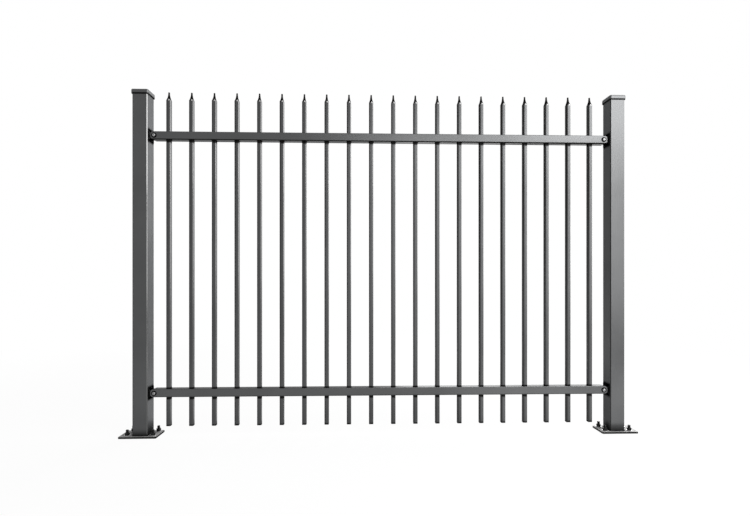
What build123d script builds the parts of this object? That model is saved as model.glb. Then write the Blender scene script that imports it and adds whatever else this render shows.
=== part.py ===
from build123d import *
import math
import os

os.makedirs("parts", exist_ok=True)

# Posts: square steel tube, one at each end of the panel, in millimetres
CLEAR_SPAN = 2000.0  # between the inner faces of the posts
POST = 63.5
POST_WALL = 2.0
POST_CORNER = 4.0
POST_LENGTH = 1470.0

# Push-on post caps
CAP_WALL = 4.0
CAP_TOP = 3.0
CAP_SKIRT = 17.0
CAP_EDGE = 4.0  # rounding of the top edge
CAP_LIP = 3.0  # rounding of the lower edge
CAP_CLEARANCE = 0.2

# Base plates and the weld bead round the foot of each post
PLATE_LENGTH = 158.0
PLATE_WIDTH = 90.0
PLATE_OUTSET = 6.0  # middle of the plate outward of the middle of the post
PLATE_THICKNESS = 8.0
PLATE_CORNER = 4.0
WELD_LEG = 3.0
WELD_TOE = 0.4

# Ground anchors: four to a plate, cut off level with the plate's underside
ANCHOR_ALONG = 108.0  # spacing along the panel, about the middle of the post
ANCHOR_ACROSS = 54.0  # spacing across the panel
ANCHOR_STUD = 12.0
ANCHOR_HOLE_CLEARANCE = 1.0
ANCHOR_TAIL = 12.0  # stud above its nut
ANCHOR_TIP = 1.2
ANCHOR_NUT_FLATS = 18.0
ANCHOR_NUT_HEIGHT = 10.8
ANCHOR_WASHER = 24.0
ANCHOR_WASHER_THICKNESS = 2.5
THREAD_CLEARANCE = 0.1

# Rails: square tube, rounded at each end about its pivot bolt
RAIL = 35.0
RAIL_WALL = 1.5
RAIL_CORNER = 2.5
TOP_RAIL_DROP = 188.0  # centre of the top rail below the top of the post tube
BOTTOM_RAIL_RISE = 177.0  # centre of the bottom rail above the base plate

# Rail brackets: a flange on the post and two ears inside the end of the rail
BRACKET_SHEET = 2.5
BRACKET_WIDTH = 51.0  # flange across the face of the post
BRACKET_TAB = 8.0  # flange above and below the rail
BRACKET_CORNER = 4.0
RAIL_END_GAP = 1.5  # rounded rail end to flange
EAR_SIDE_GAP = 0.25  # ear to the inside of the rail's wall
EAR_RACK_GAP = 2.5  # ear to the inside of the rail's top and bottom
BRACKET_SCREW = 4.8
BRACKET_SCREW_HEAD = 8.5
BRACKET_SCREW_HEAD_HEIGHT = 3.2
BRACKET_SCREW_TAIL = 9.0  # screw inside the post
SCREW_CLEARANCE = 0.05

# Pivot bolts at the rail ends
PIVOT_BOLT = 8.0
PIVOT_CLEARANCE = 0.08
PIVOT_HEAD = 14.0
PIVOT_HEAD_HEIGHT = 4.4
PIVOT_HEAD_ROUND = 3.0
PIVOT_SOCKET_FLATS = 5.0
PIVOT_SOCKET_DEPTH = 2.4
PIVOT_WASHER = 22.0
PIVOT_WASHER_THICKNESS = 1.6
PIVOT_NUT_FLATS = 13.0
PIVOT_NUT_HEIGHT = 6.5
PIVOT_TAIL = 3.0  # bolt past its nut

# Pickets: square tube, pressed to a spear, free to lean in the rails
PICKET_COUNT = 20
PICKET = 19.0
PICKET_WALL = 1.2
PICKET_CORNER = 3.5
PICKET_END_CENTRE = 78.5  # first picket's centre from the post
PICKET_RISE = 155.0  # shoulder of the spear above the centre of the top rail
PICKET_DROP = 140.0  # end of the tube below the centre of the bottom rail
SPEAR_LENGTH = 35.0
SPEAR_TIP = 6.8  # width of the blunt point
SPEAR_CURVE = 2.3  # how hollow the sides of the spear are
SPEAR_PINCH = 0.83  # reach of the pressed corners near the point, against the corners of the tube
SPEAR_PINCH_RATE = 1.5  # how soon above the shoulder the corners are pressed in
SPEAR_STEPS = (0.0, 0.06, 0.14, 0.25, 0.4, 0.62, 1.0)
RACK_ANGLE = 5.0  # lean of the rails to either side, in degrees
SLOT_CLEARANCE = 0.3

# Push-in plugs in the feet of the pickets
PLUG_FLANGE = 4.0
PLUG_DEPTH = 12.0
PLUG_CLEARANCE = 0.1

# Screws from the back of each rail into the pickets, on which the pickets lean
RAIL_SCREW = 4.8
RAIL_SCREW_HEAD_FLATS = 8.0
RAIL_SCREW_HEAD_HEIGHT = 4.0
RAIL_SCREW_COLLAR = 10.5
RAIL_SCREW_COLLAR_THICKNESS = 1.0
RAIL_SCREW_TAIL = 3.0  # screw inside the picket

# Places that follow from the sizes above
POST_TOP = PLATE_THICKNESS + POST_LENGTH
RAIL_HEIGHTS = {"bottom": PLATE_THICKNESS + BOTTOM_RAIL_RISE, "top": POST_TOP - TOP_RAIL_DROP}
SIDES = {"left": -1, "right": 1}
PIVOT_OFFSET = BRACKET_SHEET + RAIL_END_GAP + RAIL / 2
PIVOT_SPAN = CLEAR_SPAN - 2 * PIVOT_OFFSET
PICKET_PITCH = (CLEAR_SPAN - 2 * PICKET_END_CENTRE) / (PICKET_COUNT - 1)
PICKET_FOOT = RAIL_HEIGHTS["bottom"] - PICKET_DROP
PICKET_SHOULDER = RAIL_HEIGHTS["top"] + PICKET_RISE
FLANGE_HEIGHT = RAIL + 2 * BRACKET_TAB
EAR_SPREAD = RAIL - 2 * (RAIL_WALL + EAR_SIDE_GAP)
FLANGE_SCREW_RISES = (-(RAIL + BRACKET_TAB) / 2, (RAIL + BRACKET_TAB) / 2)
EAR_RADIUS = RAIL / 2 - RAIL_WALL - EAR_RACK_GAP
EAR_MIDDLE = (EAR_SPREAD - BRACKET_SHEET) / 2
LEAN = math.radians(RACK_ANGLE)
SLOT_LENGTH = (PICKET + RAIL * math.sin(LEAN)) / math.cos(LEAN) + 2 * SLOT_CLEARANCE
SLOT_WIDTH = PICKET + 2 * SLOT_CLEARANCE


def facing_front(x, y, z):
    """Plane that looks at the photographed side, with its X along the panel and its Y up."""
    return Plane((x, y, z), x_dir=(1, 0, 0), z_dir=(0, -1, 0))


def save(piece, name):
    piece.part.label = name
    export_step(piece.part, f"parts/{name}.step")


def square_tube(width, wall, corner):
    """Section of a square tube, drawn in the sketch that is open."""
    RectangleRounded(width, width, corner)
    bore = width - 2 * wall
    RectangleRounded(bore, bore, max(corner - wall, wall / 4), mode=Mode.SUBTRACT)


def spear_section(share):
    """Points of the spear at a share of its height: ridges mid-face, pressed-in corners between."""
    taper = 1 - share
    ridge = SPEAR_TIP / 2 + (PICKET - SPEAR_TIP) / 2 * taper**SPEAR_CURVE
    side = ridge * (SPEAR_PINCH + (1 - SPEAR_PINCH) * taper**SPEAR_PINCH_RATE)
    flat_end = side * (1 - 2 * PICKET_CORNER / PICKET)
    corner = side * (1 - (2 - math.sqrt(2)) * PICKET_CORNER / PICKET)
    points = []
    for quarter in range(4):
        for x, y in ((ridge, 0), (side, flat_end), (corner, corner), (flat_end, side)):
            turned = Vector(x, y).rotate(Axis.Z, 90 * quarter)
            points.append((turned.X, turned.Y))
    return points


# Posts with their caps, feet, anchors and rail brackets
for side, outward in SIDES.items():
    post_x = outward * (CLEAR_SPAN + POST) / 2
    face_x = outward * CLEAR_SPAN / 2
    pivot_x = outward * PIVOT_SPAN / 2
    inner_face = Plane((face_x, 0, 0), x_dir=(0, 0, 1), z_dir=(-outward, 0, 0))
    flange_face = inner_face.offset(BRACKET_SHEET)
    screw_spots = [(z + rise, 0) for z in RAIL_HEIGHTS.values() for rise in FLANGE_SCREW_RISES]
    pivot_spots = [(0, z) for z in RAIL_HEIGHTS.values()]
    anchor_grid = GridLocations(ANCHOR_ALONG, ANCHOR_ACROSS, 2, 2)

    with BuildPart() as post:
        with BuildSketch(Plane((post_x, 0, PLATE_THICKNESS))):
            square_tube(POST, POST_WALL, POST_CORNER)
        extrude(amount=POST_LENGTH)
        with BuildSketch(inner_face):
            with Locations(screw_spots):
                Circle(BRACKET_SCREW / 2 + SCREW_CLEARANCE)
        extrude(amount=-POST_WALL, mode=Mode.SUBTRACT)
    save(post, f"{side}_post")

    with BuildPart() as cap:
        bore = POST + 2 * CAP_CLEARANCE
        outside = bore + 2 * CAP_WALL
        with BuildSketch(Plane((post_x, 0, POST_TOP - CAP_SKIRT))):
            RectangleRounded(outside, outside, POST_CORNER + CAP_CLEARANCE + CAP_WALL)
        extrude(amount=CAP_SKIRT + CAP_TOP)
        fillet(cap.faces().sort_by(Axis.Z)[-1].edges(), CAP_EDGE)
        fillet(cap.faces().sort_by(Axis.Z)[0].edges(), CAP_LIP)
        with BuildSketch(Plane((post_x, 0, POST_TOP - CAP_SKIRT))):
            RectangleRounded(bore, bore, POST_CORNER + CAP_CLEARANCE)
        extrude(amount=CAP_SKIRT, mode=Mode.SUBTRACT)
    save(cap, f"{side}_post_cap")

    with BuildPart() as plate:
        with BuildSketch(Plane((post_x, 0, 0))):
            with Locations((outward * PLATE_OUTSET, 0)):
                RectangleRounded(PLATE_LENGTH, PLATE_WIDTH, PLATE_CORNER)
            with anchor_grid:
                Circle(ANCHOR_STUD / 2 + ANCHOR_HOLE_CLEARANCE, mode=Mode.SUBTRACT)
        extrude(amount=PLATE_THICKNESS)
    save(plate, f"{side}_base_plate")

    with BuildPart() as weld:
        for height, leg in ((0, WELD_LEG), (WELD_LEG, WELD_TOE)):
            with BuildSketch(Plane((post_x, 0, PLATE_THICKNESS + height))):
                RectangleRounded(POST + 2 * leg, POST + 2 * leg, POST_CORNER + leg)
        loft()
        with BuildSketch(Plane((post_x, 0, PLATE_THICKNESS))):
            RectangleRounded(POST, POST, POST_CORNER)
        extrude(amount=WELD_LEG, mode=Mode.SUBTRACT)
    save(weld, f"{side}_foot_weld")

    nut_base = PLATE_THICKNESS + ANCHOR_WASHER_THICKNESS
    with BuildPart() as studs:
        with BuildSketch(Plane((post_x, 0, 0))):
            with anchor_grid:
                Circle(ANCHOR_STUD / 2)
        extrude(amount=nut_base + ANCHOR_NUT_HEIGHT + ANCHOR_TAIL)
        chamfer(studs.edges().group_by(Axis.Z)[-1], ANCHOR_TIP)
    save(studs, f"{side}_anchor_studs")

    with BuildPart() as nuts:
        with BuildSketch(Plane((post_x, 0, nut_base))):
            with anchor_grid:
                RegularPolygon(ANCHOR_NUT_FLATS / 2, 6, major_radius=False)
                Circle(ANCHOR_STUD / 2 + THREAD_CLEARANCE, mode=Mode.SUBTRACT)
        extrude(amount=ANCHOR_NUT_HEIGHT)
    save(nuts, f"{side}_anchor_nuts")

    with BuildPart() as washers:
        with BuildSketch(Plane((post_x, 0, PLATE_THICKNESS))):
            with anchor_grid:
                Circle(ANCHOR_WASHER / 2)
                Circle(ANCHOR_STUD / 2 + THREAD_CLEARANCE, mode=Mode.SUBTRACT)
        extrude(amount=ANCHOR_WASHER_THICKNESS)
    save(washers, f"{side}_anchor_washers")

    for level, rail_z in RAIL_HEIGHTS.items():
        with BuildPart() as bracket:
            with BuildSketch(inner_face):
                with Locations((rail_z, 0)):
                    RectangleRounded(FLANGE_HEIGHT, BRACKET_WIDTH, BRACKET_CORNER)
                with Locations([(rail_z + rise, 0) for rise in FLANGE_SCREW_RISES]):
                    Circle(BRACKET_SCREW / 2 + SCREW_CLEARANCE, mode=Mode.SUBTRACT)
            extrude(amount=BRACKET_SHEET)
            for ear_y in (-EAR_MIDDLE, EAR_MIDDLE):
                with BuildSketch(facing_front(pivot_x, ear_y, rail_z)):
                    Circle(EAR_RADIUS)
                    post_side = Align.MIN if outward > 0 else Align.MAX
                    Rectangle(PIVOT_OFFSET, 2 * EAR_RADIUS, align=(post_side, Align.CENTER))
                    Circle(PIVOT_BOLT / 2 + PIVOT_CLEARANCE, mode=Mode.SUBTRACT)
                extrude(amount=BRACKET_SHEET / 2, both=True)
        save(bracket, f"{side}_{level}_bracket")

    with BuildPart() as bracket_screws:
        with BuildSketch(flange_face):
            with Locations(screw_spots):
                Circle(BRACKET_SCREW_HEAD / 2)
        extrude(amount=BRACKET_SCREW_HEAD_HEIGHT)
        with BuildSketch(flange_face):
            with Locations(screw_spots):
                Circle(BRACKET_SCREW / 2)
        extrude(amount=-(BRACKET_SHEET + POST_WALL + BRACKET_SCREW_TAIL))
    save(bracket_screws, f"{side}_bracket_screws")

    head_y = -RAIL / 2 - PIVOT_WASHER_THICKNESS
    nut_y = RAIL / 2 + PIVOT_WASHER_THICKNESS
    with BuildPart() as bolts:
        with BuildSketch(facing_front(pivot_x, head_y, 0)):
            with Locations(pivot_spots):
                Circle(PIVOT_HEAD / 2)
        extrude(amount=PIVOT_HEAD_HEIGHT)
        fillet(bolts.edges().group_by(Axis.Y)[0], PIVOT_HEAD_ROUND)
        with BuildSketch(facing_front(pivot_x, head_y - PIVOT_HEAD_HEIGHT, 0)):
            with Locations(pivot_spots):
                RegularPolygon(PIVOT_SOCKET_FLATS / 2, 6, major_radius=False)
        extrude(amount=-PIVOT_SOCKET_DEPTH, mode=Mode.SUBTRACT)
        with BuildSketch(facing_front(pivot_x, head_y, 0)):
            with Locations(pivot_spots):
                Circle(PIVOT_BOLT / 2)
        extrude(amount=-(nut_y - head_y + PIVOT_NUT_HEIGHT + PIVOT_TAIL))
    save(bolts, f"{side}_pivot_bolts")

    with BuildPart() as pivot_washers:
        for washer_y in (-RAIL / 2, nut_y):
            with BuildSketch(facing_front(pivot_x, washer_y, 0)):
                with Locations(pivot_spots):
                    Circle(PIVOT_WASHER / 2)
                    Circle(PIVOT_BOLT / 2 + PIVOT_CLEARANCE, mode=Mode.SUBTRACT)
            extrude(amount=PIVOT_WASHER_THICKNESS)
    save(pivot_washers, f"{side}_pivot_washers")

    with BuildPart() as pivot_nuts:
        with BuildSketch(facing_front(pivot_x, nut_y, 0)):
            with Locations(pivot_spots):
                RegularPolygon(PIVOT_NUT_FLATS / 2, 6, major_radius=False)
                Circle(PIVOT_BOLT / 2 + PIVOT_CLEARANCE, mode=Mode.SUBTRACT)
        extrude(amount=-PIVOT_NUT_HEIGHT)
    save(pivot_nuts, f"{side}_pivot_nuts")

# Rails with their slots, and the screws that the pickets lean on
picket_row = GridLocations(PICKET_PITCH, 1, PICKET_COUNT, 1)
for level, rail_z in RAIL_HEIGHTS.items():
    with BuildPart() as rail:
        with BuildSketch(Plane((-CLEAR_SPAN / 2, 0, rail_z), x_dir=(0, 1, 0), z_dir=(1, 0, 0))):
            square_tube(RAIL, RAIL_WALL, RAIL_CORNER)
        extrude(amount=CLEAR_SPAN)
        with BuildSketch(facing_front(0, 0, rail_z)):
            SlotCenterToCenter(PIVOT_SPAN, RAIL)
        extrude(amount=RAIL, both=True, mode=Mode.INTERSECT)
        with BuildSketch(Plane((0, 0, rail_z))):
            with picket_row:
                Rectangle(SLOT_LENGTH, SLOT_WIDTH)
        extrude(amount=RAIL, both=True, mode=Mode.SUBTRACT)
        with BuildSketch(facing_front(0, 0, rail_z)):
            with GridLocations(PIVOT_SPAN, 1, 2, 1):
                Circle(PIVOT_BOLT / 2 + PIVOT_CLEARANCE)
        extrude(amount=RAIL, both=True, mode=Mode.SUBTRACT)
        with BuildSketch(facing_front(0, RAIL / 2, rail_z)):
            with picket_row:
                Circle(RAIL_SCREW / 2 + SCREW_CLEARANCE)
        extrude(amount=RAIL_WALL, mode=Mode.SUBTRACT)
    save(rail, f"{level}_rail")

    with BuildPart() as rail_screws:
        back = facing_front(0, RAIL / 2, rail_z)
        with BuildSketch(back):
            with picket_row:
                Circle(RAIL_SCREW_COLLAR / 2)
        extrude(amount=-RAIL_SCREW_COLLAR_THICKNESS)
        with BuildSketch(back):
            with picket_row:
                RegularPolygon(RAIL_SCREW_HEAD_FLATS / 2, 6, major_radius=False)
        extrude(amount=-(RAIL_SCREW_COLLAR_THICKNESS + RAIL_SCREW_HEAD_HEIGHT))
        with BuildSketch(back):
            with picket_row:
                Circle(RAIL_SCREW / 2)
        extrude(amount=(RAIL - PICKET) / 2 + PICKET_WALL + RAIL_SCREW_TAIL)
    save(rail_screws, f"{level}_rail_screws")

# Pickets, each with the plug in its foot as a second solid
for number in range(PICKET_COUNT):
    picket_x = (number - (PICKET_COUNT - 1) / 2) * PICKET_PITCH
    with BuildPart() as picket:
        with BuildSketch(Plane((picket_x, 0, PICKET_FOOT))):
            square_tube(PICKET, PICKET_WALL, PICKET_CORNER)
        extrude(amount=PICKET_SHOULDER - PICKET_FOOT)
        for share in SPEAR_STEPS:
            with BuildSketch(Plane((picket_x, 0, PICKET_SHOULDER + share * SPEAR_LENGTH))):
                with BuildLine():
                    Polyline(*spear_section(share), close=True)
                make_face()
        loft(ruled=True)
        with BuildSketch(facing_front(picket_x, PICKET / 2, 0)):
            with Locations([(0, z) for z in RAIL_HEIGHTS.values()]):
                Circle(RAIL_SCREW / 2 + PIVOT_CLEARANCE)
        extrude(amount=PICKET_WALL, mode=Mode.SUBTRACT)
        with BuildSketch(Plane((picket_x, 0, PICKET_FOOT - PLUG_CLEARANCE))):
            RectangleRounded(PICKET, PICKET, PICKET_CORNER)
        extrude(amount=-PLUG_FLANGE)
        with BuildSketch(Plane((picket_x, 0, PICKET_FOOT - PLUG_CLEARANCE))):
            stem = PICKET - 2 * (PICKET_WALL + PLUG_CLEARANCE)
            RectangleRounded(stem, stem, PICKET_CORNER - PICKET_WALL - PLUG_CLEARANCE)
        extrude(amount=PLUG_DEPTH)
    save(picket, f"picket_{number + 1:02d}")
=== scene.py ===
import math
from functools import reduce

import bmesh
import bpy
from bmesh.types import BMEdge, BMFace, BMVert
from mathutils import Matrix, Vector


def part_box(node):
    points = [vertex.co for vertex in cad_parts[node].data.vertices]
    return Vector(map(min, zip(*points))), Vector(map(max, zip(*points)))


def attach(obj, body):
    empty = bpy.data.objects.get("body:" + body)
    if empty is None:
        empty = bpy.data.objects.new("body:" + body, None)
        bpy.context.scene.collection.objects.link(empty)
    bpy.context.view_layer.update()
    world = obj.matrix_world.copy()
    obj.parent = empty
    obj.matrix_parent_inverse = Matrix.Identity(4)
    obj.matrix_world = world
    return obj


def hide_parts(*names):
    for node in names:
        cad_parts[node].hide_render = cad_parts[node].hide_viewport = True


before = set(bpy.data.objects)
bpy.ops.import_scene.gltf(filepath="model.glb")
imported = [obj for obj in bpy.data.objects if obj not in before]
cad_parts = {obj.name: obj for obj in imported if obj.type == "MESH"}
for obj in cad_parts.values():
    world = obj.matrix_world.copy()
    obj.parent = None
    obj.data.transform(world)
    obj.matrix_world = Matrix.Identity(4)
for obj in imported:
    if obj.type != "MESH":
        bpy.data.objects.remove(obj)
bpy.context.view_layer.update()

# Lengths are in metres, and points closer than SAME are one
MM = 0.001
SAME = 0.001 * MM

# The two ends of the row with their outward direction, the two rails, and the pickets
OUTWARD = {"left": -1, "right": 1}
LEVELS = ("top", "bottom")
PICKET_COUNT = 20
PICKETS = [f"picket_{number + 1:02d}" for number in range(PICKET_COUNT)]

# Sizes that the solids' boxes don't give: radii of round shapes, and nuts and sockets across their flats
POST_CORNER = 4 * MM
POST_FLAT = 0.8 * POST_CORNER
POST_FLAT_EDGE = 0.1 * POST_CORNER
CAP_CORNER = 8.2 * MM
CAP_EDGE = 4 * MM
CAP_LIP = 3 * MM
CAP_WALL = 4 * MM
CAP_SKIRT = 17 * MM
PLATE_CORNER = 4 * MM
PLATE_EDGE = 0.8 * MM
WELD_LEG = 3 * MM
WELD_RIPPLE = 0.35 * MM
WELD_RIPPLE_LENGTH = 3.4 * MM
WELD_RIPPLE_SLANT = 0.4
WELD_HOLLOW = 0.2 * MM
ANCHOR_ALONG = 108 * MM
ANCHOR_ACROSS = 54 * MM
ANCHOR_HOLE = 7 * MM
STUD = 6 * MM
STUD_PITCH = 1.75 * MM
STUD_THREAD = 0.8 * MM
ANCHOR_NUT = 18 * MM
ANCHOR_NUT_EDGE = 0.8 * MM
ANCHOR_WASHER = 12 * MM
ANCHOR_WASHER_BORE = STUD + 0.1 * MM
BRACKET_SCREW = 2.4 * MM
BRACKET_SCREW_HEAD = 4.25 * MM
BRACKET_SCREW_HEIGHT = 3.2 * MM
BRACKET_SCREW_SOCKET = 3 * MM
BRACKET_SCREW_SOCKET_DEPTH = 1.6 * MM
PIVOT_BOLT = 4 * MM
PIVOT_PITCH = 1.25 * MM
PIVOT_THREAD = 0.55 * MM
PIVOT_TAIL = 4 * PIVOT_PITCH
PIVOT_HEAD = 7 * MM
PIVOT_HEAD_HEIGHT = 4.4 * MM
PIVOT_SOCKET = 5 * MM
PIVOT_SOCKET_DEPTH = 2.4 * MM
PIVOT_WASHER = 11 * MM
PIVOT_WASHER_BORE = PIVOT_BOLT + 0.08 * MM
PIVOT_WASHER_THICKNESS = 1.6 * MM
PIVOT_NUT = 13 * MM
PIVOT_NUT_HEIGHT = 6.5 * MM
PIVOT_NUT_EDGE = 0.7 * MM
RAIL_SCREW = 2.4 * MM
RAIL_SCREW_HEAD = 8 * MM
RAIL_SCREW_HEIGHT = 4 * MM
RAIL_SCREW_EDGE = 0.5 * MM
RAIL_SCREW_COLLAR = 5.25 * MM
RAIL_SCREW_COLLAR_TOP = 0.86 * RAIL_SCREW_COLLAR
RAIL_SCREW_COLLAR_THICKNESS = 1 * MM
PICKET_CORNER = 3.5 * MM
SPEAR_COLLAR = 1 * MM
SPEAR_LENGTH = 35 * MM
SPEAR_TIP = 3.4 * MM
SPEAR_NOSE = 1.2 * MM
SPEAR_CURVE = 2.3
SPEAR_PINCH = 0.83
SPEAR_PINCH_RATE = 1.5
PLUG_FLANGE = 4 * MM
PLUG_GAP = 0.1 * MM
PLUG_EDGE = 1.2 * MM
WASHER_EDGE = 0.3 * MM

# Sections in shares: the weld's outset and rise, a head's radius and drop, a spear nose's width and climb
WELD_SECTION = ((1.0, 0.0), (0.9, 0.32), (0.62, 0.64), (0.3, 0.9), (0.02, 1.0))
BUTTON_DOME = ((0.74, 0.1), (0.9, 0.32), (0.98, 0.62), (1.0, 0.88), (0.96, 1.0))
NOSE_SECTION = ((0.88, 0.5), (0.62, 0.35), (0.4, 0.15))

# How finely curves are divided, and the angle past which an edge stays sharp
WELD_CUTS = 60
SPEAR_STEPS = 12
WASHER_SEGMENTS = 32
HEAD_SEGMENTS = 24
THREAD_SEGMENTS = 20
SHANK_SEGMENTS = 16
SHARP_ANGLE = math.radians(38)


def middle_x(node):
    """Middle of a solid's box along the row."""
    return sum(corner.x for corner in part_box(node)) / 2


# Places that follow from the solids
RAIL_Z = {level: sum(corner.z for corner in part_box(f"{level}_rail")) / 2 for level in LEVELS}
RAIL_HALF = (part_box("top_rail")[1].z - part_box("top_rail")[0].z) / 2
TOP_RAIL_UNDERSIDE = RAIL_Z["top"] - RAIL_HALF
BOTTOM_RAIL_TOP = RAIL_Z["bottom"] + RAIL_HALF
BOTTOM_RAIL_UNDERSIDE = RAIL_Z["bottom"] - RAIL_HALF
POST_X = middle_x("right_post")
POST_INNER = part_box("right_post")[0].x
POST_HALF = POST_X - POST_INNER
PLATE_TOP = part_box("left_base_plate")[1].z
CAP_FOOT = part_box("left_post_cap")[0].z
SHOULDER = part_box("picket_01")[1].z - SPEAR_LENGTH
PLUG_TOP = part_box("picket_01")[0].z + PLUG_FLANGE
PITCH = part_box("picket_02")[0].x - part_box("picket_01")[0].x
PICKET_HALF = (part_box("picket_01")[1].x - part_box("picket_01")[0].x) / 2

# Painted shade, painted highlights and the plates' dust: shares of full cover, pairs between which the
# cover fades, and bands that give a middle, how far from it the cover is full and where it ends
# Painted shade on the posts: at their feet, round the brackets and on their corners that face left
FOOT_SHADE = 0.8
FOOT_SHADE_HEIGHT = 40 * MM
FOOT_SHADE_CURVE = 1.3
FOOT_SHADE_OFF_HIGHLIT_CORNERS = 0.7
BRACKET_SHADE = 0.8
BRACKET_SHADE_DEPTH = (2 * MM, 7 * MM)
BRACKET_SHADE_HEIGHT = (26 * MM, 36 * MM)
BRACKET_SHADE_WIDTH = (25 * MM, 31 * MM)
POST_LEFT_CORNER_SHADE = 0.85
# Painted shade under the caps' skirts
SKIRT_SHADE_HEIGHT = (3 * MM, 7 * MM)
# Painted shade round the welds and on the plates' rims
WELD_SHADE = 0.85
WELD_SHADE_REACH = (1.5 * MM, 4.5 * MM)
PLATE_RIM_SHADE = 0.95
PLATE_RIM_DEPTH = (0.2 * MM, 0.7 * MM)
PLATE_DUST_DEPTH = (0.1 * MM, 0.5 * MM)
# Painted shade along the rails' lower edges
TOP_RAIL_SHADE_HEIGHT = (2 * MM, 4.5 * MM)
BOTTOM_RAIL_SHADE = 0.4
BOTTOM_RAIL_SHADE_HEIGHT = (3 * MM, 6 * MM)
RAIL_SHADE_EDGE = (RAIL_HALF - 6 * MM, RAIL_HALF - 2 * MM)
RAIL_SHADE_SPREAD = 9 * MM
RAIL_SHADE_SPREAD_X = (-0.3, 0.9)
# Painted shade on the pickets: by the rails, on the spears, on the corners that face left and by the plugs
PICKET_BANDS = (
    (TOP_RAIL_UNDERSIDE - 4 * MM, 4 * MM, 10 * MM),
    (BOTTOM_RAIL_TOP + 2 * MM, 2 * MM, 6 * MM),
    (BOTTOM_RAIL_UNDERSIDE - 4 * MM, 4 * MM, 11 * MM),
)
SPEAR_SHADE_SLOPE = 0.9
SPEAR_SHADE_RIGHT = (-1 * MM, 1.5 * MM)
SPEAR_SHADE_RIGHT_LIFT = 4.5 * MM
SPEAR_SHADE_HEIGHT = (SHOULDER + 1 * MM, SHOULDER + 4 * MM)
PICKET_LEFT_WIDTH = 6.4 * MM
PICKET_LEFT_WIDENING = 2.4 * MM
PICKET_LEFT_WIDENING_X = (0.0, 0.6)
PICKET_LEFT_LOW = 0.55
PICKET_LEFT_RISE = 0.35
PICKET_LEFT_RISE_Z = (0.35, 1.25)
PICKET_FOOT_SHADE = 0.8
PICKET_FOOT_HEIGHT = (PLUG_TOP + 2 * MM, PLUG_TOP + 4.5 * MM)
# Painted highlight on the pickets' shoulders
SHOULDER_HIGHLIGHT_SHARE = 0.9
SHOULDER_HIGHLIGHT_ACROSS = (3.5 * MM, 2 * MM, 3.5 * MM)
SHOULDER_HIGHLIGHT_HEIGHT = (SHOULDER + 1 * MM, 2.5 * MM, 4 * MM)

# Patterns of the finishes: noise scales per metre, stretched scales, ranges of a noise, and relief
COAT_CLOUD = 6.0
COAT_FLECK = 300.0
COAT_PEEL = 620.0
COAT_PEEL_HEIGHT = 0.4 * MM
# Grain of the plates' dust and of the painted highlight on the pickets' shoulders
DUST_AND_HIGHLIGHT_GRAIN = 45.0
PAINTED_SHADE_GRAIN = 90.0
ZINC_SPANGLE = 420.0
ZINC_STAIN = 150.0
ZINC_HAIRLINE = (900.0, 900.0, 90.0)
ZINC_RELIEF = 0.1 * MM
PLUG_GRAIN = 1400.0
PLUG_GRAIN_HEIGHT = 0.15 * MM
PLUG_SCUFF = (60.0, 60.0, 300.0)
MIDDLE_RANGE = (0.3, 0.7)
FLECK_RANGE = (0.62, 0.8)
STAIN_RANGE = (0.45, 0.7)
SCUFF_RANGE = (0.55, 0.8)

# Tones as linear grey, and how the parts of a finish change its tone and roughness
COAT_TONE = 0.082
# Painted shade: the pickets' copy of the coat is darker than COAT_TONE
PICKET_SHADED_TONE = 0.07
PLATE_DUST_TONE = 0.27
# Painted highlight tone on the pickets' shoulders
SHOULDER_HIGHLIGHT_TONE = 0.65
COAT_TINT = -0.015
CLOUD_SPREAD = 0.05
FLECK_SHARE = 0.3
FLECK_GAIN = 1.5
COAT_ROUGHNESS = 0.29
COAT_ROUGHNESS_SPREAD = 0.06
# Painted highlight: how much brighter and smoother the right-facing corners are
HIGHLIGHT_GAIN = 1.35
HIGHLIGHT_SMOOTHING = 0.6
# Shared by the plates' dust and the painted highlight on the pickets' shoulders
DUST_AND_HIGHLIGHT_ROUGHNESS = 0.3
DUST_AND_HIGHLIGHT_UNEVENNESS = 0.25
# Painted shade: the near-black coat that stands in for shade
PAINTED_SHADE_TONE = 0.002
PAINTED_SHADE_FLECK_TONE = 0.006
PAINTED_SHADE_UNEVENNESS = 0.08
PAINTED_SHADE_ROUGHNESS = 0.75
PAINTED_SHADE_ROUGHNESS_SPREAD = 0.2
SPANGLE_DARK = 0.85
SPANGLE_LIGHT = 1.1
SPANGLE_ROUGHNESS = 0.14
STAIN_GAIN = 0.35
STAIN_ROUGHNESS = 0.25
STAIN_DULLING = 0.5
PLUG_TONE = 0.004
PLUG_SCUFF_TONE = 0.012
PLUG_ROUGHNESS = 0.5
PLUG_ROUGHNESS_SPREAD = 0.12

# Studio, in metres and shares of white
FLOOR_HALF = 40
FLOOR_TONE = 0.86
FLOOR_GLOW = 0.94
FLOOR_GLOW_EDGE = (1.4, 4.0)
SKY_LIGHT = 0.35
BOUNCE_HEIGHT = 0.03

# Camera at the photograph's place, with its focal length in the photograph's pixels
PHOTO_WIDTH = 750
FOCAL_PIXELS = 452.57
SENSOR_WIDTH = 36.0
CAMERA_PLACE = (-0.0934, -1.9823, 0.6659)
CAMERA_TURN = math.radians(-1.785)
CAMERA_SHIFT = 0.0306
CAMERA_REACH = 200.0


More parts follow.
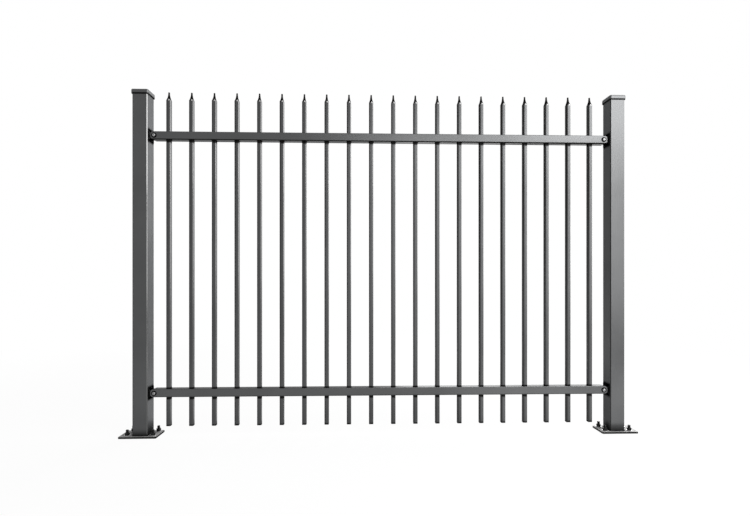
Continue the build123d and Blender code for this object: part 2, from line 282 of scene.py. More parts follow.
class Shade:
    """One output of a finish's nodes. Arithmetic on it adds Math nodes."""

    def __init__(self, finish, socket):
        self.finish = finish
        self.socket = socket

    def math(self, operation, *values):
        node = self.finish.node("ShaderNodeMath", {"operation": operation}, dict(enumerate(values)))
        return Shade(self.finish, node.outputs[0])

    def __add__(self, other):
        return self.math("ADD", self, other)

    def __sub__(self, other):
        return self.math("SUBTRACT", self, other)

    def __rsub__(self, other):
        return self.math("SUBTRACT", other, self)

    def __mul__(self, other):
        return self.math("MULTIPLY", self, other)

    def __pow__(self, other):
        return self.math("POWER", self, other)

    def __abs__(self):
        return self.math("ABSOLUTE", self)

    __radd__ = __add__
    __rmul__ = __mul__

    def sign(self):
        return self.math("SIGN", self)

    def fraction(self):
        return self.math("FRACT", self)

    def most(self, other):
        return self.math("MAXIMUM", self, other)

    def least(self, other):
        return self.math("MINIMUM", self, other)

    def between(self, low, high):
        """0 below low, 1 above high, smooth between them."""
        inputs = {"Value": self, "From Min": low, "From Max": high}
        node = self.finish.node("ShaderNodeMapRange", {"interpolation_type": "SMOOTHSTEP"}, inputs)
        return Shade(self.finish, node.outputs["Result"])

    def within(self, inside, outside):
        """1 below inside, 0 above outside, smooth between them."""
        return 1 - self.between(inside, outside)

    def near(self, centre, inside, outside):
        """1 within inside of the centre, 0 beyond outside."""
        return abs(self - centre).within(inside, outside)


class Finish:
    """A surface finish, made of nodes that read the piece's own coordinates."""

    def __init__(self, owner):
        owner.use_nodes = True
        self.owner = owner
        self.tree = owner.node_tree
        self.tree.nodes.clear()

    def node(self, kind, settings=None, inputs=None):
        node = self.tree.nodes.new(kind)
        for key, value in (settings or {}).items():
            setattr(node, key, value)
        for key, value in (inputs or {}).items():
            socket = node.inputs[key]
            if isinstance(value, Shade):
                self.tree.links.new(value.socket, socket)
            else:
                socket.default_value = value
        return node

    def out(self, node, name=0):
        return Shade(self, node.outputs[name])

    def place(self):
        return self.out(self.node("ShaderNodeTexCoord"), "Object")

    def axes(self, place):
        split = self.node("ShaderNodeSeparateXYZ", None, {0: place})
        return [self.out(split, axis) for axis in "XYZ"]

    def noise(self, place, scale, detail=2.0, roughness=0.5):
        inputs = {"Vector": place, "Scale": scale, "Detail": detail, "Roughness": roughness}
        return self.out(self.node("ShaderNodeTexNoise", None, inputs), "Fac")

    def stretched(self, place, scale):
        return self.out(self.node("ShaderNodeMapping", None, {"Vector": place, "Scale": scale}))

    def blend(self, share, first, second):
        node = self.node("ShaderNodeMix", {"data_type": "RGBA"}, {0: share, 6: first, 7: second})
        return self.out(node, 2)

    def bump(self, height, strength, distance):
        inputs = {"Height": height, "Strength": strength, "Distance": distance}
        return self.out(self.node("ShaderNodeBump", None, inputs), "Normal")

    def principled(self, inputs):
        return self.node("ShaderNodeBsdfPrincipled", None, inputs)

    def mixed(self, share, first, second):
        return self.node("ShaderNodeMixShader", None, {0: share, 1: self.out(first), 2: self.out(second)})

    def seen(self):
        """1 for the rays that show the background: straight, mirrored or through glass."""
        path = self.node("ShaderNodeLightPath")
        straight = self.out(path, "Is Camera Ray")
        return straight + self.out(path, "Is Glossy Ray") + self.out(path, "Is Transmission Ray")

    def surface(self, shader, output="ShaderNodeOutputMaterial"):
        self.node(output, None, {"Surface": self.out(shader)})
        return self.owner


def grey(level, warmth=0.0):
    """Linear grey, redder with warmth above 0 and bluer below."""
    return (level * (1 + warmth), level, level * (1 - warmth), 1.0)


def powder_coat(name, level, edge, painted_shade_mask=None, painted_highlight_mask=None, dust_and_highlight_mask=None, dust_and_highlight_tone=None):
    """Metallic powder coat: orange peel, faint clouding and paler flecks.

    Three masks say where painted shade makes it near-black, where a painted highlight makes it brighter
    and smoother, and where it is pale with the plates' dust or with a painted highlight on the pickets.
    """
    finish = Finish(bpy.data.materials.new(name))
    place = finish.place()
    axes = finish.axes(place)
    cloud = finish.noise(place, COAT_CLOUD, detail=3.0)
    fleck = finish.noise(place, COAT_FLECK)
    peel = finish.noise(place, COAT_PEEL, detail=1.5)
    dark, light = (grey(level * (1 + spread), COAT_TINT) for spread in (-CLOUD_SPREAD, CLOUD_SPREAD))
    tone = finish.blend(cloud.between(*MIDDLE_RANGE), dark, light)
    tone = finish.blend(fleck.between(*FLECK_RANGE) * FLECK_SHARE, tone, grey(level * FLECK_GAIN))
    rough = COAT_ROUGHNESS + COAT_ROUGHNESS_SPREAD * (cloud + fleck)
    # Painted highlight: a brighter tone and a smoother coat where the highlight mask says
    if painted_highlight_mask:
        highlight_share = painted_highlight_mask(*axes)
        tone = finish.blend(highlight_share, tone, grey(level * HIGHLIGHT_GAIN))
        rough = rough * (1 - HIGHLIGHT_SMOOTHING * highlight_share)
    metallic = 1.0
    # Pale, rough and less metallic where the mask says: dust on the plates' tops, a painted highlight on
    # the pickets' shoulders
    if dust_and_highlight_mask:
        uneven = 1 - DUST_AND_HIGHLIGHT_UNEVENNESS + DUST_AND_HIGHLIGHT_UNEVENNESS * finish.noise(place, DUST_AND_HIGHLIGHT_GRAIN, detail=4.0)
        dust_and_highlight_share = dust_and_highlight_mask(*axes) * uneven
        tone = finish.blend(dust_and_highlight_share, tone, grey(dust_and_highlight_tone, warmth=0.01))
        rough = rough + dust_and_highlight_share * DUST_AND_HIGHLIGHT_ROUGHNESS
        metallic = 1 - dust_and_highlight_share
    coat = finish.principled({
        "Base Color": tone, "Metallic": metallic, "Roughness": rough, "Specular Tint": grey(edge),
        "Normal": finish.bump(peel, strength=0.08, distance=COAT_PEEL_HEIGHT)})
    if not painted_shade_mask:
        return finish.surface(coat)
    # Painted shade: a near-black, rough coat without reflection, mixed in unevenly where the shade mask
    # says
    uneven = 1 - PAINTED_SHADE_UNEVENNESS + PAINTED_SHADE_UNEVENNESS * finish.noise(place, PAINTED_SHADE_GRAIN, detail=3.0)
    painted_shade_coat = finish.principled({
        "Base Color": finish.blend(fleck, grey(PAINTED_SHADE_TONE), grey(PAINTED_SHADE_FLECK_TONE, warmth=0.05)),
        "Roughness": PAINTED_SHADE_ROUGHNESS + fleck * PAINTED_SHADE_ROUGHNESS_SPREAD, "Specular IOR Level": 0.0})
    return finish.surface(finish.mixed(painted_shade_mask(*axes) * uneven, coat, painted_shade_coat))


def plated_steel(name, level, roughness, stain):
    """Zinc plate: spangled tone, hairline marks and darker stains."""
    finish = Finish(bpy.data.materials.new(name))
    place = finish.place()
    spangle = finish.noise(place, ZINC_SPANGLE, detail=3.0, roughness=0.6)
    hairline = finish.noise(finish.stretched(place, ZINC_HAIRLINE), 1.0)
    blotch = finish.noise(place, ZINC_STAIN, detail=3.0).between(*STAIN_RANGE) * stain
    dark, light = grey(level * SPANGLE_DARK, warmth=-0.02), grey(level * SPANGLE_LIGHT)
    tone = finish.blend(spangle.between(*MIDDLE_RANGE), dark, light)
    coat = finish.principled({
        "Base Color": finish.blend(blotch, tone, grey(level * STAIN_GAIN, warmth=0.06)),
        "Roughness": roughness + spangle * SPANGLE_ROUGHNESS + blotch * STAIN_ROUGHNESS,
        "Metallic": 1 - blotch * STAIN_DULLING,
        "Normal": finish.bump(hairline + spangle, strength=0.12, distance=ZINC_RELIEF)})
    return finish.surface(coat)


def moulded_plug(name):
    """Black polyethylene with a fine moulded grain."""
    finish = Finish(bpy.data.materials.new(name))
    place = finish.place()
    grain = finish.noise(place, PLUG_GRAIN)
    scuff = finish.noise(finish.stretched(place, PLUG_SCUFF), 1.0, detail=3.0).between(*SCUFF_RANGE)
    plastic = finish.principled({
        "Base Color": finish.blend(scuff, grey(PLUG_TONE), grey(PLUG_SCUFF_TONE, warmth=0.03)),
        "Roughness": PLUG_ROUGHNESS + grain * PLUG_ROUGHNESS_SPREAD, "Specular IOR Level": 0.08,
        "Normal": finish.bump(grain, strength=0.15, distance=PLUG_GRAIN_HEIGHT)})
    return finish.surface(plastic)


def corners(across, y, half, corner):
    """The two corners of a square tube on the side that across grows towards."""
    inside = half - corner
    outside = half - corner * 0.5
    return across.between(inside, outside) * abs(y).between(inside, outside)


def post_corners(x, y, side):
    """The posts' corners towards one end of the row: 1 for the right, -1 for the left."""
    return corners(side * (x - POST_X * x.sign()), y, POST_HALF, POST_CORNER)


def highlit_post_corners(x, y, z):
    """Painted highlight on the posts' corners that face right."""
    return post_corners(x, y, 1)


def by_plate_and_brackets(x, y, z):
    """Painted shade low on the posts, round the brackets and on the posts' corners that face left."""
    low = z.within(PLATE_TOP, PLATE_TOP + FOOT_SHADE_HEIGHT) ** FOOT_SHADE_CURVE
    foot = FOOT_SHADE * low * (1 - FOOT_SHADE_OFF_HIGHLIT_CORNERS * post_corners(x, y, 1))
    inner_face = (abs(x) - POST_INNER).within(*BRACKET_SHADE_DEPTH)
    top, bottom = (z.near(RAIL_Z[level], *BRACKET_SHADE_HEIGHT) for level in LEVELS)
    brackets = BRACKET_SHADE * inner_face * (top + bottom) * y.near(0, *BRACKET_SHADE_WIDTH)
    return foot.most(brackets).most(POST_LEFT_CORNER_SHADE * post_corners(x, y, -1))


def under_skirt(x, y, z):
    """Painted shade at the lower edge of the caps."""
    return (z - CAP_FOOT).within(*SKIRT_SHADE_HEIGHT)


def by_weld(x, y, z):
    """Painted shade round the welds, and on the plates' edges below their tops."""
    reach = abs(abs(x) - POST_X).most(abs(y)) - POST_HALF
    rim = (PLATE_TOP - z).between(*PLATE_RIM_DEPTH)
    return (WELD_SHADE * reach.within(*WELD_SHADE_REACH)).most(PLATE_RIM_SHADE * rim)


def plate_top(x, y, z):
    """Dust on the plates' tops."""
    return (PLATE_TOP - z).within(*PLATE_DUST_DEPTH)


def lower_edges(x, y, z):
    """Painted shade along the rails' lower edges, wider towards the right end."""
    top = z.near(TOP_RAIL_UNDERSIDE, *TOP_RAIL_SHADE_HEIGHT)
    bottom = BOTTOM_RAIL_SHADE * z.near(BOTTOM_RAIL_UNDERSIDE, *BOTTOM_RAIL_SHADE_HEIGHT)
    spread = RAIL_SHADE_SPREAD * x.between(*RAIL_SHADE_SPREAD_X)
    return (top + bottom) * (abs(y) + spread).between(*RAIL_SHADE_EDGE)


def from_axis(x):
    """Distance to the right of the nearest picket's axis."""
    return PITCH * ((x * (1 / PITCH)).fraction() - 0.5)


def highlit_picket_corners(x, y, z):
    """Painted highlight on the pickets' corners that face right."""
    return corners(from_axis(x), y, PICKET_HALF, PICKET_CORNER)


def shoulder_highlight_patches(x, y, z):
    """Painted highlight: a pale patch to the right of each picket's axis, where the spear starts."""
    return SHOULDER_HIGHLIGHT_SHARE * from_axis(x).near(*SHOULDER_HIGHLIGHT_ACROSS) * z.near(*SHOULDER_HIGHLIGHT_HEIGHT)


def by_rails_and_spear(x, y, z):
    """Painted shade on the pickets by the rails, on the spear and by the plug, and on the corners that
    face left.
    """
    bands = [z.near(*band) for band in PICKET_BANDS]
    across = from_axis(x)
    lift = SPEAR_SHADE_RIGHT_LIFT * across.between(*SPEAR_SHADE_RIGHT)
    spear = (z + SPEAR_SHADE_SLOPE * abs(across).least(abs(y)) - lift).between(*SPEAR_SHADE_HEIGHT)
    width = PICKET_LEFT_WIDTH + PICKET_LEFT_WIDENING * x.between(*PICKET_LEFT_WIDENING_X)
    share = PICKET_LEFT_LOW + PICKET_LEFT_RISE * z.between(*PICKET_LEFT_RISE_Z)
    left_corners = share * corners(-1 * across, y, PICKET_HALF, width)
    foot = PICKET_FOOT_SHADE * z.within(*PICKET_FOOT_HEIGHT)
    return reduce(Shade.most, [*bands, spear, left_corners, foot])


# One powder coat in copies: a darker tone on the pickets and an edge tint per part, as painted shade and
# light
POST_COAT = powder_coat("post_coat", COAT_TONE, edge=0.33, painted_shade_mask=by_plate_and_brackets,
                        painted_highlight_mask=highlit_post_corners)
CAP_COAT = powder_coat("cap_coat", COAT_TONE, edge=0.5, painted_shade_mask=under_skirt)
PLATE_COAT = powder_coat("plate_coat", COAT_TONE, edge=0.6, painted_shade_mask=by_weld, dust_and_highlight_mask=plate_top,
                         dust_and_highlight_tone=PLATE_DUST_TONE)
RAIL_COAT = powder_coat("rail_coat", COAT_TONE, edge=0.6, painted_shade_mask=lower_edges)
PICKET_COAT = powder_coat("picket_coat", PICKET_SHADED_TONE, edge=0.5, painted_shade_mask=by_rails_and_spear,
                          painted_highlight_mask=highlit_picket_corners, dust_and_highlight_mask=shoulder_highlight_patches, dust_and_highlight_tone=SHOULDER_HIGHLIGHT_TONE)
# The welds' coat is near-black: painted shade at the posts' feet
WELD_SHADE_COAT = powder_coat("weld_coat", level=0.012, edge=0.3)
BRACKET_COAT = powder_coat("bracket_coat", level=0.008, edge=0.2)
PIVOT_WASHER_COAT = powder_coat("pivot_washer_coat", level=0.003, edge=0.06)
BRIGHT_ZINC = plated_steel("bright_zinc", level=0.28, roughness=0.3, stain=0.35)
ANCHOR_ZINC = plated_steel("black_anchor_zinc", level=0.02, roughness=0.3, stain=0.6)
WASHER_ZINC = plated_steel("washer_zinc", level=0.5, roughness=0.25, stain=0.3)
PLUG_PLASTIC = moulded_plug("black_plug")


def added(name, data):
    """Puts a mesh, a lamp or a camera into the scene."""
    made = bpy.data.objects.new(name, data)
    bpy.context.scene.collection.objects.link(made)
    return made


def meshed(name, bm, finish):
    """Puts a finished mesh with its material into the scene."""
    mesh = bpy.data.meshes.new(name)
    bm.to_mesh(mesh)
    bm.free()
    mesh.materials.append(finish)
    return added(name, mesh)


def piece(name, bm, finish, slot, body, *nodes):
    """Turns a finished mesh into a piece that rides on a body and stands for solids."""
    bmesh.ops.recalc_face_normals(bm, faces=bm.faces)
    made = meshed(name, bm, finish)
    made.data.shade_smooth()
    made.data.set_sharp_from_angle(angle=SHARP_ANGLE)
    normals = made.modifiers.new("flat_faces_stay_flat", "WEIGHTED_NORMAL")
    normals.keep_sharp = True
    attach(made, body)
    if nodes:
        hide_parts(*nodes)


def copied(node):
    """Merged copy of a solid's mesh."""
    bm = bmesh.new()
    bm.from_mesh(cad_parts[node].data)
    bmesh.ops.remove_doubles(bm, verts=bm.verts, dist=SAME)
    return bm


def block(bm, low, high):
    """Box between two corners."""
    verts = bmesh.ops.create_cube(bm, size=1)["verts"]
    bmesh.ops.scale(bm, verts=verts, vec=high - low)
    bmesh.ops.translate(bm, verts=verts, vec=(low + high) / 2)


def rounded(bm, geom, radius, segments, affect="EDGES"):
    """Rounds edges, or the corner points of a flat shape."""
    bmesh.ops.bevel(bm, geom=geom, offset=radius, affect=affect, segments=segments, profile=0.5,
                    material=-1)


def upright_edges(bm):
    return [e for e in bm.edges if (e.verts[0].co - e.verts[1].co).xy.length < SAME]


def level_edges(bm):
    return [e for e in bm.edges if abs(e.verts[0].co.z - e.verts[1].co.z) < SAME]


def edges_at(bm, z):
    return [e for e in level_edges(bm) if abs(e.verts[0].co.z - z) < SAME]


def grown_parts(grown, kind):
    """The verts, edges or faces among what an extrusion gives."""
    return [part for part in grown["geom"] if isinstance(part, kind)]


def outline(bm, width, depth, corner, segments, centre):
    """Closed line with rounded corners."""
    verts = bmesh.ops.create_grid(bm, x_segments=1, y_segments=1, size=0.5)["verts"]
    bmesh.ops.scale(bm, verts=verts, vec=(width, depth, 1))
    bmesh.ops.translate(bm, verts=verts, vec=centre)
    rounded(bm, verts, corner, segments, affect="VERTICES")
    bmesh.ops.delete(bm, geom=bm.faces[:], context="FACES_ONLY")


def thickened(bm, height):
    """Makes a flat shape a solid of some height."""
    lifted = bmesh.ops.extrude_face_region(bm, geom=bm.faces[:], use_keep_orig=True)
    bmesh.ops.translate(bm, verts=grown_parts(lifted, BMVert), vec=(0, 0, height))


def raised(bm, face, climb):
    """Extrudes a face upwards, and gives the new face."""
    grown = bmesh.ops.extrude_face_region(bm, geom=[face])
    bmesh.ops.delete(bm, geom=[face], context="FACES_ONLY")
    new_face = grown_parts(grown, BMFace)[0]
    bmesh.ops.translate(bm, verts=new_face.verts, vec=(0, 0, climb))
    return new_face


def widened(bm, verts, ratio, x=0.0):
    """Scales points in width and depth about an upright axis."""
    bmesh.ops.scale(bm, verts=verts, vec=(ratio, ratio, 1), space=Matrix.Translation((-x, 0, 0)))


def grown_loop(bm, loop, ratio, z, x=0.0):
    """Extrudes a loop of edges to a new width and height, and gives the new loop."""
    grown = bmesh.ops.extrude_edge_only(bm, edges=loop)
    verts = grown_parts(grown, BMVert)
    widened(bm, verts, ratio, x)
    bmesh.ops.translate(bm, verts=verts, vec=(0, 0, z - verts[0].co.z))
    return [e for e in grown_parts(grown, BMEdge) if all(v in verts for v in e.verts)]


def turned(profile, steps, closed=False):
    """Turns a profile of (radius, height) points about the Z axis."""
    bm = bmesh.new()
    verts = [bm.verts.new((radius, 0, height)) for radius, height in profile]
    edges = [bm.edges.new(pair) for pair in zip(verts, verts[1:])]
    if closed:
        edges.append(bm.edges.new((verts[-1], verts[0])))
    bmesh.ops.spin(bm, geom=verts + edges, cent=(0, 0, 0), axis=(0, 0, 1), angle=math.tau, steps=steps,
                   use_merge=True)
    bmesh.ops.remove_doubles(bm, verts=bm.verts, dist=SAME)
    return bm


def threaded(radius, depth, pitch, low, high, tail):
    """Plain shank that carries a thread over its last stretch, with a broken end."""
    root = radius - depth
    end = [(root, high - 0.3 * pitch), (radius - 1.4 * depth, high), (0, high)]
    profile = [(0, low), (radius, low), (radius, high - tail)]
    for turn in range(int(tail / pitch)):
        z = high - tail + turn * pitch
        profile += [(root, z + pitch / 2), (radius, z + pitch)]
    last_crest = high - 0.7 * pitch
    return turned([point for point in profile if point[1] < last_crest] + end, THREAD_SEGMENTS)


def hexagon(flats, height, edge):
    """Hexagonal nut or head with broken edges, standing on the XY plane."""
    bm = bmesh.new()
    turn = Matrix.Rotation(math.radians(30), 4, "Z")
    bmesh.ops.create_circle(bm, cap_ends=True, segments=6, radius=flats / math.sqrt(3), matrix=turn)
    thickened(bm, height)
    rounded(bm, level_edges(bm), edge, segments=2)
    return bm


def button_head(radius, height, socket, depth):
    """Domed screw head with a hexagonal socket, standing on the XY plane."""
    bm = bmesh.new()
    bmesh.ops.create_circle(bm, segments=6, radius=socket / math.sqrt(3))
    bmesh.ops.subdivide_edges(bm, edges=bm.edges[:], cuts=HEAD_SEGMENTS // 6 - 1)
    mouth = bm.edges[:]
    bmesh.ops.edgeloop_fill(bm, edges=grown_loop(bm, mouth, 1.0, -depth))
    # The rim clears the socket's corners
    reach = max(radius * 0.5, socket * 0.64)
    rim = bmesh.ops.create_circle(bm, segments=HEAD_SEGMENTS, radius=reach)["verts"]
    loop = list(dict.fromkeys(e for v in rim for e in v.link_edges))
    bmesh.ops.bridge_loops(bm, edges=mouth + loop)
    for share, drop in BUTTON_DOME:
        loop = grown_loop(bm, loop, share * radius / reach, -drop * height)
        reach = share * radius
    bmesh.ops.edgeloop_fill(bm, edges=loop)
    bmesh.ops.translate(bm, verts=bm.verts, vec=(0, 0, height))
    return bm


def ring(inner, outer, thickness):
    """Flat washer with broken edges, standing on the XY plane."""
    rim = outer - WASHER_EDGE
    profile = [(inner, 0), (rim, 0), (outer, WASHER_EDGE),
               (outer, thickness - WASHER_EDGE), (rim, thickness), (inner, thickness)]
    return turned(profile, WASHER_SEGMENTS, closed=True)


def placed(bm, shape, where):
    """Adds a finished shape to a mesh, in its place."""
    bmesh.ops.transform(shape, matrix=where, verts=shape.verts)
    carrier = bpy.data.meshes.new("carrier")
    shape.to_mesh(carrier)
    shape.free()
    bm.from_mesh(carrier)
    bpy.data.meshes.remove(carrier)


def at(x, y, z, turn=None):
    """Turns a shape that stands at the origin, and moves it to its place."""
    return Matrix.Translation((x, y, z)) @ (turn or Matrix())


def quarter_turn(direction, axis):
    return Matrix.Rotation(direction * math.radians(90), 4, axis)


FRONTWARD = quarter_turn(1, "X")
BACKWARD = quarter_turn(-1, "X")


def post_tube(side):
    """Square tube with a flat across each corner."""
    bm = bmesh.new()
    block(bm, *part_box(f"{side}_post"))
    rounded(bm, upright_edges(bm), POST_FLAT, segments=1)
    rounded(bm, upright_edges(bm), POST_FLAT_EDGE, segments=2)
    piece(f"{side}_post_tube", bm, POST_COAT, "charcoal_coat", f"{side}_post", f"{side}_post")


def post_cap(side):
    """Hollow cap with a rounded lip."""
    low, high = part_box(f"{side}_post_cap")
    bm = bmesh.new()
    block(bm, low, high)
    rounded(bm, upright_edges(bm), CAP_CORNER, segments=6)
    underside = min(bm.faces, key=lambda f: f.calc_center_median().z)
    lip = underside.edges[:]
    bmesh.ops.inset_individual(bm, faces=[underside], thickness=CAP_WALL)
    hollow = bmesh.ops.extrude_discrete_faces(bm, faces=[underside])["faces"]
    bmesh.ops.translate(bm, verts=hollow[0].verts, vec=(0, 0, CAP_SKIRT))
    rounded(bm, edges_at(bm, high.z), CAP_EDGE, segments=5)
    rounded(bm, lip, CAP_LIP, segments=4)
    piece(f"{side}_cap", bm, CAP_COAT, "charcoal_coat", f"{side}_post", f"{side}_post_cap")


def anchor_places(side):
    """Where the four anchors of a foot stand."""
    x = middle_x(f"{side}_post")
    return [(x + i * ANCHOR_ALONG / 2, j * ANCHOR_ACROSS / 2) for i in (-1, 1) for j in (-1, 1)]


def base_plate(side):
    """Plate with four holes and broken edges."""
    low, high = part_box(f"{side}_base_plate")
    centre = ((low.x + high.x) / 2, (low.y + high.y) / 2, low.z)
    bm = bmesh.new()
    outline(bm, high.x - low.x, high.y - low.y, PLATE_CORNER, 5, centre)
    for x, y in anchor_places(side):
        bmesh.ops.create_circle(bm, segments=WASHER_SEGMENTS, radius=ANCHOR_HOLE, matrix=at(x, y, low.z))
    bmesh.ops.triangle_fill(bm, edges=bm.edges[:], use_beauty=True)
    thickened(bm, high.z - low.z)
    bmesh.ops.recalc_face_normals(bm, faces=bm.faces)
    rims = [e for e in level_edges(bm) if e.calc_face_angle(0) > SHARP_ANGLE]
    rounded(bm, rims, PLATE_EDGE, segments=2)
    piece(f"{side}_plate", bm, PLATE_COAT, "charcoal_coat", f"{side}_post", f"{side}_base_plate")


def weld_bead(side):
    """Rippled fillet round the foot of a post."""
    low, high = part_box(f"{side}_foot_weld")
    post_x = middle_x(f"{side}_post")
    bm = bmesh.new()
    outline(bm, 2 * POST_HALF, 2 * POST_HALF, POST_CORNER, 6, (post_x, 0, low.z))
    sides = [e for e in bm.edges if e.calc_length() > POST_HALF]
    bmesh.ops.subdivide_edges(bm, edges=sides, cuts=WELD_CUTS)
    first = bm.edges[:]
    loop = first
    reach = POST_HALF
    for outset, rise in WELD_SECTION:
        wide = POST_HALF + outset * WELD_LEG
        loop = grown_loop(bm, loop, wide / reach, low.z + rise * (high.z - low.z), post_x)
        swell = math.sin(math.pi * rise)
        for v in dict.fromkeys(v for e in loop for v in e.verts):
            across = v.co.x - post_x
            along = v.co.y if abs(across) > abs(v.co.y) else across
            wave = math.cos(math.tau * (along - WELD_RIPPLE_SLANT * v.co.z) / WELD_RIPPLE_LENGTH)
            v.co += Vector((across, v.co.y, 0)).normalized() * swell * (WELD_RIPPLE * wave - WELD_HOLLOW)
        reach = wide
    bmesh.ops.bridge_loops(bm, edges=first + loop)
    piece(f"{side}_weld_bead", bm, WELD_SHADE_COAT, "charcoal_coat", f"{side}_post", f"{side}_foot_weld")


def ground_anchors(side):
    """Four studs with their nuts and washers."""
    body = f"{side}_post"
    stud_low, stud_high = (corner.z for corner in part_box(f"{side}_anchor_studs"))
    nut_low, nut_high = (corner.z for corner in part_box(f"{side}_anchor_nuts"))
    washer_low, washer_high = (corner.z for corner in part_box(f"{side}_anchor_washers"))
    tail = stud_high - nut_high + STUD_PITCH
    studs, nuts, washers = bmesh.new(), bmesh.new(), bmesh.new()
    for x, y in anchor_places(side):
        placed(studs, threaded(STUD, STUD_THREAD, STUD_PITCH, stud_low, stud_high, tail), at(x, y, 0))
        placed(nuts, hexagon(ANCHOR_NUT, nut_high - nut_low, ANCHOR_NUT_EDGE), at(x, y, nut_low))
        washer = ring(ANCHOR_WASHER_BORE, ANCHOR_WASHER, washer_high - washer_low)
        placed(washers, washer, at(x, y, washer_low))
    piece(f"{side}_threaded_studs", studs, ANCHOR_ZINC, "anchor_steel", body, f"{side}_anchor_studs")
    piece(f"{side}_hex_nuts", nuts, ANCHOR_ZINC, "anchor_steel", body, f"{side}_anchor_nuts")
    piece(f"{side}_flat_washers", washers, WASHER_ZINC, "anchor_steel", body, f"{side}_anchor_washers")


def rail_brackets(side):
    """Two folded brackets, each held by two button screws above and below the rail."""
    body = f"{side}_post"
    outward = OUTWARD[side]
    low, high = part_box(f"{side}_bracket_screws")
    seat_x = (low.x if outward > 0 else high.x) + outward * BRACKET_SCREW_HEIGHT
    tail = high.x - low.x - BRACKET_SCREW_HEIGHT
    shank = [(0, -tail), (BRACKET_SCREW, -tail), (BRACKET_SCREW, 0), (0, 0)]
    screws = bmesh.new()
    for level in LEVELS:
        node = f"{side}_{level}_bracket"
        piece(f"{node}_folded", copied(node), BRACKET_COAT, "black_steel", body, node)
        bracket_low, bracket_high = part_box(node)
        rise = ((bracket_high.z - bracket_low.z) / 2 + RAIL_HALF) / 2
        for z in (RAIL_Z[level] - rise, RAIL_Z[level] + rise):
            seat = at(seat_x, 0, z, quarter_turn(-outward, "Y"))
            head = button_head(BRACKET_SCREW_HEAD, BRACKET_SCREW_HEIGHT, BRACKET_SCREW_SOCKET,
                               BRACKET_SCREW_SOCKET_DEPTH)
            placed(screws, head, seat)
            placed(screws, turned(shank, SHANK_SEGMENTS), seat)
    piece(f"{side}_bracket_button_screws", screws, BRACKET_COAT, "black_steel", body,
          f"{side}_bracket_screws")


def pivot_bolts(side):
    """Two button bolts through the rails' ends, each with two washers and a nut."""
    body = f"{side}_post"
    x = middle_x(f"{side}_pivot_bolts")
    nut_face = RAIL_HALF + PIVOT_WASHER_THICKNESS
    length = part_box(f"{side}_pivot_bolts")[1].y + nut_face
    bolts, washers, nuts = bmesh.new(), bmesh.new(), bmesh.new()
    for z in RAIL_Z.values():
        head = button_head(PIVOT_HEAD, PIVOT_HEAD_HEIGHT, PIVOT_SOCKET, PIVOT_SOCKET_DEPTH)
        placed(bolts, head, at(x, -nut_face, z, FRONTWARD))
        shank = threaded(PIVOT_BOLT, PIVOT_THREAD, PIVOT_PITCH, 0, length, PIVOT_TAIL)
        placed(bolts, shank, at(x, -nut_face, z, BACKWARD))
        for y, turn in ((-RAIL_HALF, FRONTWARD), (RAIL_HALF, BACKWARD)):
            washer = ring(PIVOT_WASHER_BORE, PIVOT_WASHER, PIVOT_WASHER_THICKNESS)
            placed(washers, washer, at(x, y, z, turn))
        nut = hexagon(PIVOT_NUT, PIVOT_NUT_HEIGHT, PIVOT_NUT_EDGE)
        placed(nuts, nut, at(x, nut_face, z, BACKWARD))
    piece(f"{side}_button_bolts", bolts, BRIGHT_ZINC, "bright_steel", body, f"{side}_pivot_bolts")
    piece(f"{side}_bolt_washers", washers, PIVOT_WASHER_COAT, "black_steel", body, f"{side}_pivot_washers")
    piece(f"{side}_bolt_nuts", nuts, BRIGHT_ZINC, "bright_steel", body, f"{side}_pivot_nuts")


def rail_with_screws(level):
    """Rail, with the hex-washer screws that hold the pickets from behind."""
    body = f"{level}_rail"
    piece(f"{level}_rail_tube", copied(body), RAIL_COAT, "charcoal_coat", body, body)
    tail = RAIL_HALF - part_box(f"{level}_rail_screws")[0].y
    thick = RAIL_SCREW_COLLAR_THICKNESS
    collar = [(0, -tail), (RAIL_SCREW, -tail), (RAIL_SCREW, 0), (RAIL_SCREW_COLLAR, 0),
              (RAIL_SCREW_COLLAR, thick / 2), (RAIL_SCREW_COLLAR_TOP, thick), (0, thick)]
    screws = bmesh.new()
    for name in PICKETS:
        back = at(middle_x(name), RAIL_HALF, RAIL_Z[level], BACKWARD)
        placed(screws, turned(collar, SHANK_SEGMENTS), back)
        placed(screws, hexagon(RAIL_SCREW_HEAD, RAIL_SCREW_HEIGHT + thick, RAIL_SCREW_EDGE), back)
    piece(f"{level}_hex_washer_screws", screws, BRIGHT_ZINC, "bright_steel", body, f"{level}_rail_screws")


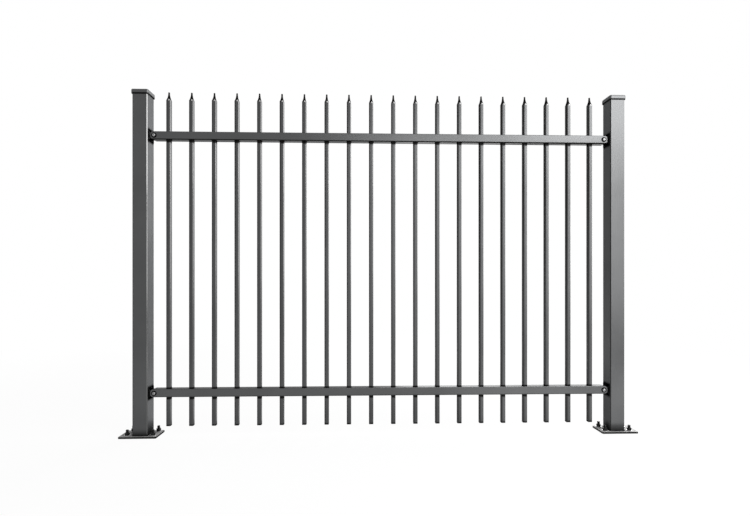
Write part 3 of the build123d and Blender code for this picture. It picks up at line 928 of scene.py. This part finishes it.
def picket_tube(name):
    """Square tube whose top is pressed to a spear."""
    low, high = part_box(name)
    middle = middle_x(name)
    neck = SHOULDER - SPEAR_COLLAR
    bm = bmesh.new()
    block(bm, Vector((low.x, low.y, low.z + PLUG_FLANGE + PLUG_GAP)), Vector((high.x, high.y, neck)))
    rounded(bm, upright_edges(bm), PICKET_CORNER, segments=4)
    sides = [e for e in edges_at(bm, neck) if e.calc_length() > PICKET_HALF]
    bmesh.ops.subdivide_edges(bm, edges=sides, cuts=1)
    top = max(bm.faces, key=lambda f: f.calc_center_median().z)
    ridge_before, pinch_before, rise_before = PICKET_HALF, 1.0, -SPEAR_COLLAR
    for step in range(SPEAR_STEPS + 1):
        rise = (SPEAR_LENGTH - SPEAR_NOSE) * step / SPEAR_STEPS
        taper = 1 - rise / SPEAR_LENGTH
        ridge = SPEAR_TIP + (PICKET_HALF - SPEAR_TIP) * taper ** SPEAR_CURVE
        pinch = SPEAR_PINCH + (1 - SPEAR_PINCH) * taper ** SPEAR_PINCH_RATE
        top = raised(bm, top, rise - rise_before)
        widened(bm, top.verts, ridge / ridge_before, middle)
        flanks = [v for v in top.verts if min(abs(v.co.x - middle), abs(v.co.y)) > ridge / 4]
        widened(bm, flanks, pinch / pinch_before, middle)
        ridge_before, pinch_before, rise_before = ridge, pinch, rise
    for ratio, climb in NOSE_SECTION:
        top = raised(bm, top, climb * SPEAR_NOSE)
        widened(bm, top.verts, ratio, middle)
    piece(f"{name}_tube", bm, PICKET_COAT, "charcoal_coat", name, name)


def picket_plug(name):
    """Flange of the plug in a picket's foot."""
    low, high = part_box(name)
    bm = bmesh.new()
    block(bm, low, Vector((high.x, high.y, low.z + PLUG_FLANGE)))
    rounded(bm, upright_edges(bm), PICKET_CORNER, segments=4)
    rounded(bm, edges_at(bm, low.z), PLUG_EDGE, segments=3)
    piece(f"{name}_plug", bm, PLUG_PLASTIC, "black_steel", name)


for side in OUTWARD:
    post_tube(side)
    post_cap(side)
    base_plate(side)
    weld_bead(side)
    ground_anchors(side)
    rail_brackets(side)
    pivot_bolts(side)
for level in LEVELS:
    rail_with_screws(level)
for name in PICKETS:
    picket_tube(name)
    picket_plug(name)

# Floor and background: pale, with the object's soft shadow
pale = Finish(bpy.data.materials.new("pale_floor"))
ground = pale.node("ShaderNodeBsdfDiffuse", None, {"Color": grey(FLOOR_TONE)})
glow = pale.node("ShaderNodeEmission", None, {"Color": grey(1.0), "Strength": 1.0})
reach = pale.out(pale.node("ShaderNodeVectorMath", {"operation": "LENGTH"}, {0: pale.place()}), "Value")
share = pale.seen() * (FLOOR_GLOW + (1 - FLOOR_GLOW) * reach.between(*FLOOR_GLOW_EDGE))
pale.surface(pale.mixed(share, ground, glow))

bm = bmesh.new()
bmesh.ops.create_grid(bm, x_segments=1, y_segments=1, size=FLOOR_HALF)
floor = meshed("floor", bm, pale.owner)

world = Finish(bpy.data.worlds.new("white_studio"))
bpy.context.scene.world = world.owner
strength = SKY_LIGHT + (1 - SKY_LIGHT) * world.seen()
sky = world.node("ShaderNodeBackground", None, {"Color": grey(1.0), "Strength": strength})
world.surface(sky, "ShaderNodeOutputWorld")


def soft_light(name, place, target, width, height, power):
    """Rectangular lamp that faces a target."""
    data = bpy.data.lights.new(name, "AREA")
    data.shape = "RECTANGLE"
    data.size = width
    data.size_y = height
    data.energy = power
    lamp = added(name, data)
    lamp.location = place
    lamp.rotation_euler = (Vector(target) - Vector(place)).to_track_quat("-Z", "Y").to_euler()


def floor_light(name, x, y, width, depth, power):
    """Light that comes straight up off the floor."""
    soft_light(name, (x, y, BOUNCE_HEIGHT), (x, y, BOUNCE_HEIGHT + 1), width, depth, power)


soft_light("key_softbox", (2.36, -2.15, 2.45), (0.3, 0, 0.9), 1.85, 1.4, power=62)
soft_light("side_softbox", (3.4, -0.8, 1.9), (0.8, 0, 0.9), 1.6, 2.6, power=71)
soft_light("low_softbox", (2.35, -1.95, 0.95), (0.6, 0, 0.6), 2.0, 1.1, power=16)
soft_light("front_softbox", (1.15, -3.2, 0.85), (0.5, 0, 0.8), 2.6, 1.5, power=18)
soft_light("top_strip", (0.95, -2.5, 1.98), (0.2, 0, 1.2), 2.0, 0.5, power=17)
floor_light("floor_bounce", 0.3, -0.85, 3.2, 1.1, power=3.6)
floor_light("right_floor_bounce", 1.45, -0.56, 2.0, 1.0, power=5.6)
soft_light("rear_softbox", (0.95, 3.2, 2.4), (-0.6, 0, 0.9), 1.5, 2.2, power=54)
soft_light("rear_low_softbox", (1.6, 3.2, 0.75), (-0.2, 0, 0.7), 2.8, 1.5, power=36)
floor_light("far_floor_bounce", 0.35, 2.5, 1.1, 1.6, power=11)
floor_light("rear_floor_bounce", -0.75, 1.2, 0.8, 2.2, power=14)
soft_light("right_softbox", (3.0, 1.7, 1.9), (-0.2, 0, 0.9), 2.6, 2.4, power=84)

# The camera stands level, turned a little to the right
lens = bpy.data.cameras.new("photo_camera")
lens.sensor_width = SENSOR_WIDTH
lens.lens = FOCAL_PIXELS / PHOTO_WIDTH * SENSOR_WIDTH
lens.shift_y = CAMERA_SHIFT
lens.clip_end = CAMERA_REACH
camera = added("photo_camera", lens)
camera.location = CAMERA_PLACE
camera.rotation_euler = (math.radians(90), 0, CAMERA_TURN)
bpy.context.scene.camera = camera
bpy.context.scene.view_settings.view_transform = "Standard"

bpy.context.view_layer.update()
